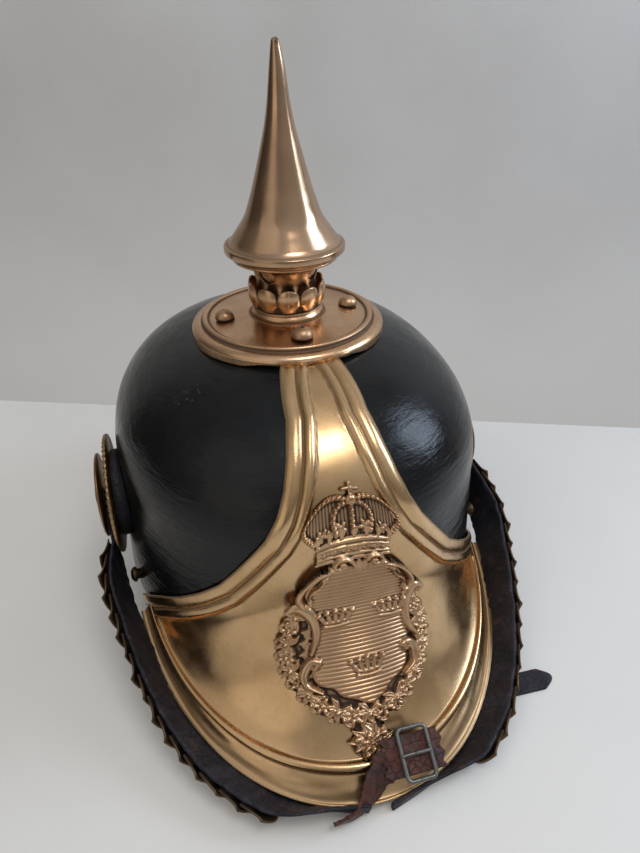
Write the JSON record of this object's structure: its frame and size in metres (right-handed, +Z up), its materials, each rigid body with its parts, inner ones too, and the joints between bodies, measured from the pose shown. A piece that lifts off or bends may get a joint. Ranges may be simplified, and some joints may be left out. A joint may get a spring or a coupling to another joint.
{
  "type": "cavalry helmet",
  "caption": "Black lacquered leather cavalry helmet with brass front plate and visor, relief badge, tall spike on a round base, and a scaled chin strap lying round the visor.",
  "frame": {"origin": "centre of the bounding box on the table under the helmet", "axes": "+Z up along the spike, -Y the way the helmet's front faces, +X the wearer's left"},
  "size_m": [0.2294, 0.3254, 0.2956],
  "materials": {
    "lacquer": "glossy black lacquer",
    "strap_leather": "worn dark leather",
    "worn_leather": "torn reddish brown leather",
    "plate_brass": "satin polished sheet brass",
    "cast_brass": "cast brass, dark in its recesses",
    "tombac": "satin reddish brass",
    "spike_brass": "polished brass",
    "aged_brass": "dull aged brass",
    "buckle_steel": "tarnished"
  },
  "bodies": {
    "root": {"skull": "lacquer", "neck_guard": "strap_leather", "front_plate": "plate_brass", "arms_badge": "cast_brass", "base_plate": "tombac", "stud_front": "tombac", "stud_left": "tombac", "stud_back": "tombac", "stud_right": "tombac", "spike_neck": "tombac", "petal_ring": "tombac", "spike": "spike_brass", "side_stud_left": "aged_brass", "side_stud_right": "aged_brass", "ear_pad_left": "strap_leather", "cockade_left": "aged_brass", "ear_post_left": "aged_brass", "boss_left": "aged_brass", "strap_left": "strap_leather", "scale_left_01": "aged_brass", "scale_left_02": "aged_brass", "scale_left_03": "aged_brass", "scale_left_04": "aged_brass", "scale_left_05": "aged_brass", "scale_left_06": "aged_brass", "scale_left_07": "aged_brass", "scale_left_08": "aged_brass", "scale_left_09": "aged_brass", "scale_left_10": "aged_brass", "scale_left_11": "aged_brass", "scale_left_12": "aged_brass", "scale_left_13": "aged_brass", "scale_left_14": "aged_brass", "scale_left_15": "aged_brass", "ear_pad_right": "strap_leather", "cockade_right": "aged_brass", "ear_post_right": "aged_brass", "boss_right": "aged_brass", "strap_right": "strap_leather", "scale_right_01": "aged_brass", "scale_right_02": "aged_brass", "scale_right_03": "aged_brass", "scale_right_04": "aged_brass", "scale_right_05": "aged_brass", "scale_right_06": "aged_brass", "scale_right_07": "aged_brass", "scale_right_08": "aged_brass", "scale_right_09": "aged_brass", "scale_right_10": "aged_brass", "scale_right_11": "aged_brass", "scale_right_12": "aged_brass", "scale_right_13": "aged_brass", "scale_right_14": "aged_brass", "scale_right_15": "aged_brass", "strap_tab": "worn_leather", "buckle_frame": "buckle_steel", "buckle_prong": "buckle_steel", "strap_tail": "strap_leather"}
  },
  "joints": []
}
